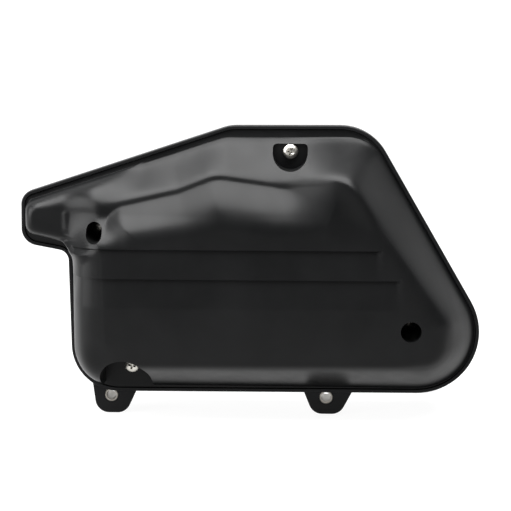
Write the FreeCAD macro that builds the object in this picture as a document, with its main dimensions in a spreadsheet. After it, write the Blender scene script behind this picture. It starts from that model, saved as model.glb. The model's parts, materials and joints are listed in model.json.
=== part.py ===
import FreeCAD, Part
import os
import Sketcher

# Air filter housing of a small scooter engine, in millimetres.
# Origin: centre of the front ear's bore, on the joint face of the two shells.
# +X runs to the rear, +Z up, and the cover faces -Y. The joint face is Y = 0.

Vector = FreeCAD.Vector
Placement = FreeCAD.Placement
Rotation = FreeCAD.Rotation

doc = FreeCAD.newDocument("AirFilterHousing")
sheet = doc.addObject("Spreadsheet::Sheet", "sizes")

# Outlines in the XZ plane. Each corner is (X, Z, corner radius).
outlines = {
    # outer edge of the case rim
    "rim": {
        "NoseTop": (-55.5, 130.7, 9.5),
        "Kink": (77.1, 174.4, 25.0),
        "TopRear": (165.2, 174.6, 33.0),
        "LowRear": (264.2, 4.1, 39.5),
        "LowFront": (-24.5, 3.0, 30.0),
        "Throat": (-26.1, 93.8, 7.0),
        "NoseLow": (-55.9, 99.4, 11.0),
    },
    # the same rim without the nose
    "trunk": {
        "FrontTop": (-24.6, 140.9, 15.0),
        "Kink": (77.1, 174.4, 25.0),
        "TopRear": (165.2, 174.6, 33.0),
        "LowRear": (264.2, 4.1, 39.5),
        "LowFront": (-24.5, 3.0, 30.0),
    },
    # nose of the case, run on into the trunk
    "caseNose": {
        "NoseTop": (-55.5, 130.7, 9.5),
        "InTop": (20.0, 155.6, 14.0),
        "InLow": (20.0, 85.1, 14.0),
        "NoseLow": (-55.9, 99.4, 11.0),
    },
    # nose of the cover, run on into the shoulder
    "coverNose": {
        "NoseTop": (-52.4, 126.1, 7.1),
        "InTop": (20.0, 149.8, 14.0),
        "InLow": (20.0, 90.3, 14.0),
        "NoseLow": (-52.6, 106.2, 7.1),
    },
    # foot of the cover's side walls, without the nose
    "shoulder": {
        "FrontTop": (-22.0, 136.1, 15.0),
        "Kink": (74.2, 167.6, 19.0),
        "TopRear": (165.0, 167.8, 26.0),
        "LowRear": (256.7, 9.0, 36.0),
        "LowFront": (-22.0, 7.8, 28.5),
    },
    # the raised front panel
    "panel": {
        "FrontTop": (-4.0, 129.5, 16.0),
        "Brow": (62.0, 144.0, 26.0),
        "RearTop": (157.0, 144.0, 14.0),
        "Rear": (217.0, 60.0, 16.0),
        "LowRear": (211.0, 25.0, 17.0),
        "LowFront": (-6.0, 24.0, 22.0),
    },
    # the foam panel
    "foam": {
        "FrontTop": (22.0, 142.0, 6.0),
        "RearTop": (168.0, 142.0, 6.0),
        "RearLow": (168.0, 34.0, 6.0),
        "FrontLow": (22.0, 34.0, 6.0),
    },
    # the two ears, each about its own bore
    "frontEar": {
        "FrontRoot": (-13.2, 17.0, 1.0),
        "FrontTip": (-9.4, -11.6, 8.8),
        "RearTip": (9.4, -11.6, 8.8),
        "RearRoot": (19.0, 9.0, 1.0),
    },
    "rearEar": {
        "FrontRoot": (-16.5, 9.0, 1.0),
        "FrontTip": (-8.4, -11.0, 8.6),
        "RearTip": (8.8, -11.0, 8.6),
        "RearRoot": (19.5, 9.0, 1.0),
    },
}

dimensions = {
    # how far a cutter runs past a face, and a wall runs into its neighbour
    "cutPast": 1.0,
    "runInto": 0.5,
    # a box that reaches past the whole housing
    "farRear": 270.0,
    "farTop": 180.0,
    # shells
    "lipHeight": 3.5,
    "lipWidth": 2.2,
    "lipGap": 0.3,
    "lipRound": 0.9,
    "flangeThickness": 2.5,
    "caseFlangeThickness": 3.0,
    "coverWall": 2.4,
    "caseWall": 2.5,
    "caseInset": 5.0,
    "caseDepth": 40.0,
    "caseRound": 9.0,
    "caseNoseRound": 3.2,
    "hollowFront": 5.0,
    "wallHoleFront": 30.0,
    "noseTuck": 0.6,
    "noseFront": 18.0,
    "noseRound": 5.0,
    "shoulderFront": 30.0,
    "shoulderRound": 12.0,
    "panelFront": 43.0,
    "panelBack": 20.0,
    "panelRound": 10.0,
    "louverStep": 1.3,
    "louverFade": 18.0,
    "louverFrontX": 6.0,
    "upperLouverZ": 101.4,
    "upperLouverRearX": 170.0,
    "lowerLouverZ": 83.1,
    "lowerLouverRearX": 184.0,
    # seal cord in its groove
    "grooveInset": 3.3,
    "grooveWidth": 2.0,
    "grooveDepth": 1.6,
    "sealGap": 0.1,
    # cover screws and their bosses
    "topScrewX": 115.2,
    "topScrewZ": 158.4,
    "frontScrewX": -5.0,
    "frontScrewZ": 110.3,
    "rearScrewX": 190.2,
    "rearScrewZ": 51.5,
    "lowScrewX": 14.1,
    "lowScrewZ": 20.5,
    "topSeat": 5.0,
    "wellSeat": 6.0,
    "screwHeadRadius": 4.75,
    "screwHeadHeight": 3.4,
    "screwHeadCrown": 2.6,
    "screwHeadFlat": 2.6,
    "screwHeadShoulder": 4.3,
    "screwHeadSide": 1.4,
    "screwTipRadius": 1.1,
    "screwShankRadius": 2.45,
    "screwLength": 20.0,
    "screwTip": 1.4,
    "recessSpan": 4.8,
    "recessWidth": 1.1,
    "recessDepth": 2.2,
    "coverHoleRadius": 2.75,
    "bossHoleRadius": 2.5,
    "bossRadius": 5.5,
    "bossHoleDepth": 20.0,
    "wellRadius": 6.35,
    "wellWall": 2.0,
    "frontWellHalfWidth": 5.2,
    "pocketRadius": 10.9,
    "pocketTopZ": 163.4,
    "pocketWall": 2.2,
    "scoopX": 11.5,
    "scoopZ": 11.0,
    "scoopRadius": 17.0,
    "scoopFootZ": -8.0,
    # ears and sleeves
    "earSpacing": 138.5,
    "earFront": 1.0,
    "earBossRadius": 7.5,
    "sleeveLength": 22.0,
    "sleeveOuterRadius": 4.35,
    "sleeveBoreRadius": 3.25,
    "sleeveChamfer": 0.4,
    "earBoreRadius": 4.4,
    # partition between the intake side and the clean side
    "partitionX": 183.0,
    "partitionWall": 2.4,
    "partitionFront": 2.0,
    # foam carrier
    "carrierFront": 18.0,
    "carrierThickness": 2.5,
    "carrierGap": 0.4,
    "carrierBossGap": 0.4,
    "trayWall": 1.8,
    "trayGap": 0.4,
    "trayFront": 0.2,
    "gridBar": 3.0,
    "gridColumns": 5.0,
    "gridRows": 4.0,
    "postRadius": 4.0,
    "postHoleRadius": 1.35,
    "postHoleDepth": 9.0,
    "carrierScrewRadius": 1.3,
    "carrierScrewHeadRadius": 3.0,
    "carrierScrewHeadHeight": 2.0,
    "carrierScrewLength": 10.0,
    "carrierHoleRadius": 1.6,
    # filter element
    "foamBack": 17.8,
    "retainerThickness": 2.0,
    "retainerLap": 2.0,
    "retainerBar": 5.0,
    "retainerColumns": 3.0,
    "retainerRows": 2.0,
    # outlet boot at the nose, with its band clamp
    "outletX": -26.5,
    "outletZ": 116.8,
    "outletHoleRadius": 12.4,
    "bootNeckRadius": 12.35,
    "bootFlangeRadius": 13.5,
    "bootFlangeThickness": 1.9,
    "bootCollarRadius": 16.0,
    "bootCollarThickness": 2.5,
    "bootTubeRadius": 13.5,
    "bootBoreRadius": 10.0,
    "bootSocketRadius": 14.0,
    "bootSocketOuter": 16.6,
    "bootSocketFront": 50.0,
    "bootBack": 64.0,
    "bootLipRadius": 17.5,
    "bootLipWidth": 1.8,
    "bootCollarSlope": 1.0,
    "bootFlareLength": 3.0,
    "bootStepLength": 2.0,
    "bandGap": 0.05,
    "bandThickness": 0.8,
    "bandWidth": 9.0,
    "bandFront": 52.5,
    "bandEarOffset": 3.0,
    "bandEarThickness": 1.2,
    "bandEarTop": 16.9,
    "bandEarBottom": 27.0,
    "clampScrewDrop": 22.6,
    "clampScrewRadius": 2.0,
    "clampScrewReach": 10.0,
    "clampHeadRadius": 3.6,
    "clampHeadHeight": 2.6,
    "clampHoleGap": 0.1,
    "clampSlotWidth": 1.0,
    "clampSlotDepth": 1.2,
    "clampNutSize": 7.0,
    "clampNutThickness": 3.2,
    # intake snorkel on the case back
    "snorkelX": 211.0,
    "snorkelZ": 44.0,
    "snorkelBore": 11.5,
    "snorkelOuter": 13.2,
    "snorkelSpigot": 12.9,
    "snorkelHole": 13.0,
    "snorkelInner": 34.0,
    "snorkelFlangeRadius": 14.6,
    "snorkelFlangeThickness": 3.0,
    "snorkelBendFront": 44.0,
    "snorkelBendRadius": 15.0,
    "snorkelMouthZ": 12.0,
    "snorkelLipRadius": 13.9,
    "snorkelLipWidth": 2.0,
    "snorkelLugReach": 18.5,
    "snorkelLugRadius": 4.5,
    # drain plug
    "drainX": 189.8,
    "drainZ": 18.0,
    "drainNippleRadius": 5.8,
    "drainNippleBack": 48.0,
    "drainNippleRoot": 36.0,
    "drainHoleRadius": 4.0,
    "drainStemRadius": 3.95,
    "drainStemLength": 9.0,
    "drainHeadRadius": 6.4,
    "drainHeadThickness": 3.0,
    "drainEdge": 0.8,
    "drainLead": 1.2,
    # ribs on the case back
    "ribThickness": 1.8,
    "ribHeight": 2.2,
    "ribRoot": 1.0,
    "ribFrontX": 14.0,
    "ribRearX": 172.0,
    "ribLowZ": 26.0,
    "ribHighZ": 148.0,
    "ribColumns": 4.0,
    "ribRows": 3.0,
}

carrierPosts = {
    "FrontLow": (8.0, 50.0),
    "FrontHigh": (8.0, 122.0),
    "RearLow": (175.5, 40.0),
    "RearHigh": (175.5, 128.0),
}


class Length:
    # a number that remembers the sheet formula it comes from
    def __init__(self, value, formula):
        self.value = value
        self.formula = formula

    def joined(self, sign, other, value):
        return Length(value, "(" + self.formula + sign + asLength(other).formula + ")")

    def __add__(self, other):
        return self.joined(" + ", other, self.value + asLength(other).value)

    def __sub__(self, other):
        return self.joined(" - ", other, self.value - asLength(other).value)

    def __mul__(self, other):
        return self.joined(" * ", other, self.value * asLength(other).value)

    def __truediv__(self, other):
        return self.joined(" / ", other, self.value / asLength(other).value)

    def __neg__(self):
        return Length(-self.value, "(-" + self.formula + ")")


def asLength(number):
    if isinstance(number, Length):
        return number
    return Length(float(number), "(" + repr(float(number)) + ")")


class Sizes:
    pass


d = Sizes()


def fillSheet():
    cells = dict(dimensions)
    for outlineName, corners in outlines.items():
        for cornerName, (x, z, radius) in corners.items():
            cells[outlineName + cornerName + "X"] = x
            cells[outlineName + cornerName + "Z"] = z
            cells[outlineName + cornerName + "Round"] = radius
    for postName, (x, z) in carrierPosts.items():
        cells["post" + postName + "X"] = x
        cells["post" + postName + "Z"] = z
    for row, (alias, number) in enumerate(cells.items(), start=1):
        sheet.set("A%d" % row, alias)
        sheet.set("B%d" % row, str(number))
        sheet.setAlias("B%d" % row, alias)
        setattr(d, alias, Length(number, "sizes." + alias))
    doc.recompute()


def bind(thing, name, length):
    thing.setExpression(name, asLength(length).formula)


def bindPlace(thing, x=0, y=0, z=0):
    for axis, length in (("x", x), ("y", y), ("z", z)):
        bind(thing, "Placement.Base." + axis, length)


# ---- sketches ----

def addPolygon(sketch, points):
    # closed polygon whose corners are held at bound coordinates
    first = sketch.GeometryCount
    count = len(points)
    spots = [Vector(asLength(u).value, asLength(v).value, 0) for u, v in points]
    for i in range(count):
        sketch.addGeometry(Part.LineSegment(spots[i], spots[(i + 1) % count]), False)
    for i in range(count):
        follower = first + (i + 1) % count
        sketch.addConstraint(Sketcher.Constraint("Coincident", first + i, 2, follower, 1))
    for i, (u, v) in enumerate(points):
        for kind, length in (("DistanceX", asLength(u)), ("DistanceY", asLength(v))):
            made = sketch.addConstraint(Sketcher.Constraint(kind, first + i, 1, length.value))
            sketch.setExpression("Constraints[%d]" % made, length.formula)


def drawOutline(sketch, outlineName):
    # polygon through the outline's corners, each corner then rounded by a tangent arc
    corners = list(outlines[outlineName])
    spots = [(getattr(d, outlineName + c + "X"), getattr(d, outlineName + c + "Z")) for c in corners]
    addPolygon(sketch, spots)
    for i, corner in enumerate(corners):
        radius = getattr(d, outlineName + corner + "Round")
        arc = sketch.GeometryCount
        sketch.fillet(i, 1, radius.value, True, True)
        made = sketch.addConstraint(Sketcher.Constraint("Radius", arc, radius.value))
        sketch.setExpression("Constraints[%d]" % made, radius.formula)


def outlineSketch(outlineName):
    sketch = doc.addObject("Sketcher::SketchObject", outlineName + "Outline")
    sketch.Placement = Placement(Vector(0, 0, 0), Rotation(Vector(1, 0, 0), 90))
    drawOutline(sketch, outlineName)
    return sketch


# ---- solids from sketches and primitives, all standing along Y ----

def inset(name, sketch, distance):
    edge = doc.addObject("Part::Offset2D", name)
    edge.Source = sketch
    edge.Join = 0
    bind(edge, "Value", -asLength(distance))
    return edge


def slab(name, profile, front, back, x=0, z=0):
    solid = doc.addObject("Part::Extrusion", name)
    solid.Base = profile
    solid.DirMode = "Custom"
    solid.Dir = Vector(0, 1, 0)
    solid.Solid = True
    solid.FaceMakerClass = "Part::FaceMakerExtrusion"
    bind(solid, "LengthFwd", asLength(back) - front)
    bindPlace(solid, x, front, z)
    return solid


def insetSlab(name, sketch, distance, front, back):
    if asLength(distance).value == 0:
        return slab(name, sketch, front, back)
    return slab(name, inset(name + "Edge", sketch, distance), front, back)


def rod(name, x, z, radius, front, back):
    solid = doc.addObject("Part::Cylinder", name)
    solid.Placement = Placement(Vector(0, 0, 0), Rotation(Vector(1, 0, 0), -90))
    bind(solid, "Radius", radius)
    bind(solid, "Height", asLength(back) - front)
    bindPlace(solid, x, front, z)
    return solid


def crossRod(name, y, z, radius, left, right):
    solid = doc.addObject("Part::Cylinder", name)
    solid.Placement = Placement(Vector(0, 0, 0), Rotation(Vector(0, 1, 0), 90))
    bind(solid, "Radius", radius)
    bind(solid, "Height", asLength(right) - left)
    bindPlace(solid, left, y, z)
    return solid


def block(name, left, right, front, back, low, high):
    solid = doc.addObject("Part::Box", name)
    bind(solid, "Length", asLength(right) - left)
    bind(solid, "Width", asLength(back) - front)
    bind(solid, "Height", asLength(high) - low)
    bindPlace(solid, left, front, low)
    return solid


def fuse(name, shapes):
    solid = doc.addObject("Part::MultiFuse", name)
    solid.Shapes = shapes
    return solid


def cut(name, base, tool):
    solid = doc.addObject("Part::Cut", name)
    solid.Base = base
    solid.Tool = tool
    return solid


def common(name, base, tool):
    solid = doc.addObject("Part::Common", name)
    solid.Base = base
    solid.Tool = tool
    return solid


def roundRim(name, base, level, radius):
    # rounds the edges that lie in the plane Y = level
    doc.recompute()
    chosen = []
    for number, edge in enumerate(base.Shape.Edges, start=1):
        box = edge.BoundBox
        if abs(box.YMin - level.value) < 0.01 and abs(box.YMax - level.value) < 0.01:
            chosen.append((number, radius.value, radius.value))
    solid = doc.addObject("Part::Fillet", name)
    solid.Base = base
    solid.Edges = chosen
    return solid


# ---- bodies built from features ----

def newBody(name, x=0, y=0, z=0):
    body = doc.addObject("PartDesign::Body", name)
    bindPlace(body, x, y, z)
    return body


def bodySketch(body, name, planeRole, offset=0):
    sketch = body.newObject("Sketcher::SketchObject", name)
    plane = [f for f in body.Origin.OriginFeatures if f.Role == planeRole][0]
    sketch.AttachmentSupport = [(plane, "")]
    sketch.MapMode = "FlatFace"
    bind(sketch, "AttachmentOffset.Base.z", offset)
    return sketch


def turned(body, name, points):
    # revolves (radius, Y) points about the body's own Y axis
    sketch = bodySketch(body, name + "Section", "XY_Plane")
    addPolygon(sketch, points)
    solid = body.newObject("PartDesign::Revolution", name)
    solid.Profile = sketch
    solid.ReferenceAxis = (sketch, ["V_Axis"])
    solid.Angle = 360.0
    sketch.Visibility = False
    return solid


def crossRecess(body, name, front, span, width, depth):
    # cross-shaped driver recess sunk towards +Y from the plane Y = front
    s = span / 2
    w = width / 2
    sketch = bodySketch(body, name + "Cross", "XZ_Plane", -asLength(front))
    addPolygon(sketch, [(-w, -s), (w, -s), (w, -w), (s, -w), (s, w), (w, w),
                        (w, s), (-w, s), (-w, w), (-s, w), (-s, -w), (-w, -w)])
    pocket = body.newObject("PartDesign::Pocket", name)
    pocket.Profile = sketch
    bind(pocket, "Length", depth)
    return pocket


# ---- the sub-parts ----

def screwSpots():
    # name, X, Z and the depth of the seat that the head bears on
    return [("top", d.topScrewX, d.topScrewZ, d.topSeat),
            ("front", d.frontScrewX, d.frontScrewZ, d.wellSeat),
            ("rear", d.rearScrewX, d.rearScrewZ, d.wellSeat),
            ("lower", d.lowScrewX, d.lowScrewZ, d.flangeThickness)]


def stadium(name, x, z, halfWidth, halfHeight, front, back):
    # upright slot shape: two round ends and the block between them
    reach = halfHeight - halfWidth
    return fuse(name, [
        rod(name + "High", x, z + reach, halfWidth, front, back),
        rod(name + "Low", x, z - reach, halfWidth, front, back),
        block(name + "Middle", x - halfWidth, x + halfWidth, front, back, z - reach, z + reach)])


def pocketShape(name, grow, front, back):
    # half round below, square above
    x, z, radius = d.topScrewX, d.topScrewZ, d.pocketRadius + grow
    return fuse(name, [
        rod(name + "Round", x, z, radius, front, back),
        block(name + "Square", x - radius, x + radius, front, back, z, d.pocketTopZ + grow)])


def scoopShape(name, grow, front, back):
    # arch that is open towards the lower edge
    radius = d.scoopRadius + grow
    return fuse(name, [
        rod(name + "Arch", d.scoopX, d.scoopZ, radius, front, back),
        block(name + "Foot", d.scoopX - radius, d.scoopX + radius, front, back,
              d.scoopFootZ, d.scoopZ)])


def domeSteps(name, shrink, foot):
    # nose, shoulder and front panel, each an outline pulled in by the wall thickness
    noseTop = -(d.noseFront - shrink)
    shoulderTop = -(d.shoulderFront - shrink)
    panelTop = -(d.panelFront - shrink)
    nose = insetSlab(name + "Nose", coverNoseSketch, shrink + d.noseTuck, noseTop, foot)
    shoulder = insetSlab(name + "Shoulder", shoulderSketch, shrink, shoulderTop, foot)
    panel = insetSlab(name + "Panel", panelSketch, shrink, panelTop, -(d.panelBack - shrink))
    return [roundRim(name + "NoseSoft", nose, noseTop, d.noseRound - shrink),
            roundRim(name + "ShoulderSoft", shoulder, shoulderTop, d.shoulderRound - shrink),
            roundRim(name + "PanelSoft", panel, panelTop, d.panelRound - shrink)]


def louver(name, top, rear):
    # ledge that stands proud at its top edge and fades out below
    wedge = doc.addObject("Part::Wedge", name)
    for corner in ("Xmin", "X2min", "Ymin", "Zmin"):
        setattr(wedge, corner, 0)
    bind(wedge, "Xmax", rear - d.louverFrontX)
    bind(wedge, "X2max", rear - d.louverFrontX)
    bind(wedge, "Ymax", d.louverFade)
    bind(wedge, "Zmax", d.louverStep)
    bind(wedge, "Z2min", d.louverStep)
    bind(wedge, "Z2max", d.louverStep)
    wedge.Placement = Placement(Vector(0, 0, 0), Rotation(Vector(1, 0, 0), -90))
    bindPlace(wedge, d.louverFrontX, -(d.panelFront + d.louverStep), top)
    return wedge


def makeCover():
    outer = fuse("coverOuter", domeSteps("cover", asLength(0), -d.runInto) + [
        louver("upperLouver", d.upperLouverZ, d.upperLouverRearX),
        louver("lowerLouver", d.lowerLouverZ, d.lowerLouverRearX)])
    core = fuse("coverCore", domeSteps("coverInner", d.coverWall, d.cutPast))
    flange = insetSlab("coverFlange", rimSketch, d.lipWidth + d.lipGap, -d.flangeThickness, 0)
    shell = cut("coverShell", fuse("coverBlock", [outer, flange]), core)
    wellOuter = d.wellRadius + d.wellWall
    reach = -d.panelFront
    inner = fuse("coverInnerWalls", [
        stadium("frontWellWall", d.frontScrewX, d.frontScrewZ, d.frontWellHalfWidth + d.wellWall,
                wellOuter, reach, -d.runInto),
        rod("rearWellWall", d.rearScrewX, d.rearScrewZ, wellOuter, reach, -d.runInto),
        pocketShape("topPocketWall", d.pocketWall, reach, -(d.topSeat - d.pocketWall)),
        rod("topBoss", d.topScrewX, d.topScrewZ, d.bossRadius, -d.topSeat, -d.runInto),
        scoopShape("scoopWall", d.pocketWall, reach + d.cutPast, -d.runInto)])
    held = common("coverInnerTrimmed", inner, outer)
    feet = [rod(n + "CoverFoot", x, z, d.bossRadius, -d.cutPast, 0) for n, x, z, seat in screwSpots()]
    holes = [rod(n + "CoverHole", x, z, d.coverHoleRadius, -(seat + d.cutPast), d.cutPast)
             for n, x, z, seat in screwSpots()]
    front = -(d.panelFront + d.louverStep + d.cutPast)
    holes += [
        stadium("frontWell", d.frontScrewX, d.frontScrewZ, d.frontWellHalfWidth,
                d.wellRadius, front, -d.wellSeat),
        rod("rearWell", d.rearScrewX, d.rearScrewZ, d.wellRadius, front, -d.wellSeat),
        pocketShape("topPocket", asLength(0), front, -d.topSeat),
        scoopShape("scoop", asLength(0), front, -d.flangeThickness)]
    return cut("cover", fuse("coverWhole", [shell, held] + feet), fuse("coverHoles", holes))


def caseSteps(name, shrink, front):
    # trunk and nose of the rear shell
    back = d.caseDepth - shrink
    trunk = insetSlab(name + "Trunk", trunkSketch, d.caseInset + shrink, front, back)
    nose = insetSlab(name + "Nose", caseNoseSketch, d.caseInset + shrink + d.noseTuck, front,
                     back)
    return [roundRim(name + "TrunkSoft", trunk, back, d.caseRound - shrink),
            roundRim(name + "NoseSoft", nose, back, d.caseNoseRound - shrink)]


def ear(name, x):
    sketch = outlineSketch(name)
    return [slab(name + "Plate", sketch, -d.earFront, d.caseFlangeThickness, x, 0),
            rod(name + "Boss", x, 0, d.earBossRadius, -d.earFront, d.sleeveLength - d.earFront)]


def openingPitch(low, high, count, bar):
    # spacing of count openings that share the span evenly, with a bar between neighbours
    return (high - low + bar) / count


def backRibs():
    back = d.caseDepth + d.ribHeight
    ribs = []
    front = d.caseDepth - d.ribRoot
    pitchX = openingPitch(d.ribFrontX, d.ribRearX, d.ribColumns, d.ribThickness)
    for i in range(1, int(d.ribColumns.value)):
        right = d.ribFrontX + pitchX * i
        ribs.append(block("ribUpright%d" % i, right - d.ribThickness, right, front, back,
                          d.ribLowZ, d.ribHighZ))
    pitchZ = openingPitch(d.ribLowZ, d.ribHighZ, d.ribRows, d.ribThickness)
    for i in range(1, int(d.ribRows.value)):
        top = d.ribLowZ + pitchZ * i
        ribs.append(block("ribLevel%d" % i, d.ribFrontX, d.ribRearX, front, back,
                          top - d.ribThickness, top))
    return ribs


def makeCase():
    body = fuse("caseBody", caseSteps("case", asLength(0), asLength(0)))
    plate = slab("caseFlange", rimSketch, -d.lipHeight, d.caseFlangeThickness)
    softLip = roundRim("caseLipSoft", plate, -d.lipHeight, d.lipRound)
    nipple = rod("drainNipple", d.drainX, d.drainZ, d.drainNippleRadius, d.drainNippleRoot,
                 d.drainNippleBack)
    solidCase = fuse("caseBlock", [body, softLip, nipple] + backRibs()
                     + ear("frontEar", asLength(0)) + ear("rearEar", d.earSpacing))
    hollow = fuse("caseHollow", caseSteps("caseInner", d.caseWall, -d.hollowFront) + [
        insetSlab("caseRecess", rimSketch, d.lipWidth, -(d.lipHeight + d.cutPast), 0)])
    shell = cut("caseShell", solidCase, hollow)
    bosses = [rod(n + "CaseBoss", x, z, d.bossRadius, 0, d.caseDepth)
              for n, x, z, seat in screwSpots()]
    carrierBack = d.carrierFront + d.carrierThickness
    posts = [rod("post" + p, getattr(d, "post" + p + "X"), getattr(d, "post" + p + "Z"),
                 d.postRadius, carrierBack, d.caseDepth) for p in carrierPosts]
    partition = block("partition", d.partitionX, d.partitionX + d.partitionWall,
                      d.partitionFront, d.caseDepth, 0, d.farTop)
    held = common("caseInnerTrimmed", fuse("caseInnerWalls", bosses + posts + [partition]), body)
    holes = [rod(n + "CaseHole", x, z, d.bossHoleRadius, -d.cutPast, d.bossHoleDepth)
             for n, x, z, seat in screwSpots()]
    holes += [rod("post" + p + "Hole", getattr(d, "post" + p + "X"), getattr(d, "post" + p + "Z"),
                  d.postHoleRadius, d.carrierFront, carrierBack + d.postHoleDepth)
              for p in carrierPosts]
    holes += [rod(n + "Bore", x, 0, d.earBoreRadius, -(d.earFront + d.cutPast),
                  d.sleeveLength + d.cutPast)
              for n, x in (("frontEar", 0), ("rearEar", d.earSpacing))]
    holes += [
        cut("sealGroove",
            insetSlab("grooveOuter", rimSketch, d.grooveInset, -d.cutPast, d.grooveDepth),
            insetSlab("grooveInner", rimSketch, d.grooveInset + d.grooveWidth, -(d.cutPast * 2),
                      d.grooveDepth + d.cutPast)),
        rod("outletHole", d.outletX, d.outletZ, d.outletHoleRadius, d.wallHoleFront,
            d.caseDepth + d.cutPast),
        rod("snorkelOpening", d.snorkelX, d.snorkelZ, d.snorkelHole, d.wallHoleFront,
            d.caseDepth + d.cutPast),
        rod("drainHole", d.drainX, d.drainZ, d.drainHoleRadius, d.wallHoleFront,
            d.drainNippleBack + d.cutPast)]
    holes += [rod("snorkelPilot%d" % i, d.snorkelX, d.snorkelZ + d.snorkelLugReach * side,
                  d.postHoleRadius, d.caseDepth - d.carrierScrewLength, d.caseDepth + d.cutPast)
              for i, side in enumerate((-1, 1))]
    return cut("case", fuse("caseWhole", [shell, held]), fuse("caseHoles", holes))


def makeSeal():
    outer = insetSlab("sealOuter", rimSketch, d.grooveInset + d.sealGap, 0, d.grooveDepth)
    inner = insetSlab("sealInner", rimSketch, d.grooveInset + d.grooveWidth - d.sealGap,
                      -d.cutPast, d.grooveDepth + d.cutPast)
    return cut("perimeter_seal", outer, inner)


def makeCarrier():
    front, back = d.carrierFront, d.carrierFront + d.carrierThickness
    wallInset = d.caseInset + d.caseWall + d.carrierGap
    plate = insetSlab("carrierPlate", trunkSketch, wallInset, front, back)
    tongue = insetSlab("carrierTongue", caseNoseSketch, wallInset + d.noseTuck, front, back)
    left, right = d.foamFrontLowX - d.trayGap, d.foamRearLowX + d.trayGap
    low, high = d.foamFrontLowZ - d.trayGap, d.foamFrontTopZ + d.trayGap
    wall = d.trayWall
    tray = block("trayWalls", left - wall, right + wall, d.trayFront, front, low - wall, high + wall)
    past = back + d.cutPast
    holes = [block("carrierTrim", d.partitionX - d.carrierGap, d.farRear, 0, past, 0, d.farTop),
             block("trayInside", left, right, -d.cutPast, front, low, high)]
    holes += [rod(n + "CarrierPass", x, z, d.bossRadius + d.carrierBossGap, 0, past)
              for n, x, z, seat in screwSpots()]
    holes += [rod("post" + p + "Pass", getattr(d, "post" + p + "X"), getattr(d, "post" + p + "Z"),
                  d.carrierHoleRadius, front - d.cutPast, past) for p in carrierPosts]
    pitchX = openingPitch(left, right, d.gridColumns, d.gridBar)
    pitchZ = openingPitch(low, high, d.gridRows, d.gridBar)
    for i in range(int(d.gridColumns.value)):
        for k in range(int(d.gridRows.value)):
            x, z = left + pitchX * i, low + pitchZ * k
            holes.append(block("window%d_%d" % (i, k), x, x + pitchX - d.gridBar,
                               front - d.cutPast, past, z, z + pitchZ - d.gridBar))
    return cut("foam_carrier", fuse("carrierWhole", [plate, tongue, tray]), fuse("carrierHoles", holes))


def makeCarrierScrews():
    front = d.carrierFront
    screws = []
    for p in carrierPosts:
        x, z = getattr(d, "post" + p + "X"), getattr(d, "post" + p + "Z")
        screws.append(fuse("carrierScrew" + p, [
            rod("carrierShank" + p, x, z, d.carrierScrewRadius, front - d.runInto,
                front + d.carrierScrewLength),
            rod("carrierHead" + p, x, z, d.carrierScrewHeadRadius,
                front - d.carrierScrewHeadHeight, front)]))
    group = doc.addObject("Part::Compound", "carrier_screws")
    group.Links = screws
    return group


def makeFoam():
    body = newBody("filter_foam")
    sketch = bodySketch(body, "foamPlan", "XZ_Plane")
    drawOutline(sketch, "foam")
    pad = body.newObject("PartDesign::Pad", "foamPad")
    pad.Profile = sketch
    pad.Reversed = True
    bind(pad, "Length", d.foamBack)
    return body


def makeRetainer():
    lap = d.retainerLap
    left, right = d.foamFrontLowX - lap, d.foamRearLowX + lap
    low, high = d.foamFrontLowZ - lap, d.foamFrontTopZ + lap
    bar = d.retainerBar
    plate = block("retainerPlate", left, right, -d.retainerThickness, 0, low, high)
    pitchX = openingPitch(left + bar, right - bar, d.retainerColumns, bar)
    pitchZ = openingPitch(low + bar, high - bar, d.retainerRows, bar)
    windows = []
    for i in range(int(d.retainerColumns.value)):
        for k in range(int(d.retainerRows.value)):
            x, z = left + bar + pitchX * i, low + bar + pitchZ * k
            windows.append(block("retainerWindow%d_%d" % (i, k), x, x + pitchX - bar,
                                 -(d.retainerThickness + d.cutPast), d.cutPast,
                                 z, z + pitchZ - bar))
    return cut("foam_retainer", plate, fuse("retainerWindows", windows))


def makeCoverScrew(name, x, z, seat):
    # pan head with a cross recess; the seat plane is the body's Y = 0
    body = newBody("cover_screw_" + name, x, -seat, z)
    head, top = d.screwHeadRadius, d.screwHeadHeight
    shank, tip = d.screwShankRadius, d.screwTip
    turned(body, name + "Screw", [
        (0, -top), (d.screwHeadFlat, -top), (d.screwHeadShoulder, -d.screwHeadCrown),
        (head, -d.screwHeadSide), (head, 0), (shank, 0), (shank, d.screwLength - tip),
        (d.screwTipRadius, d.screwLength), (0, d.screwLength)])
    crossRecess(body, name + "Recess", -top, d.recessSpan, d.recessWidth, d.recessDepth)
    return body


def makeSleeve(name, x):
    body = newBody(name, x, -d.earFront, 0)
    c = d.sleeveChamfer
    bore, outer, length = d.sleeveBoreRadius, d.sleeveOuterRadius, d.sleeveLength
    turned(body, name + "Ring", [(bore, 0), (outer - c, 0), (outer, c), (outer, length - c),
                                 (outer - c, length), (bore, length)])
    return body


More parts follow.
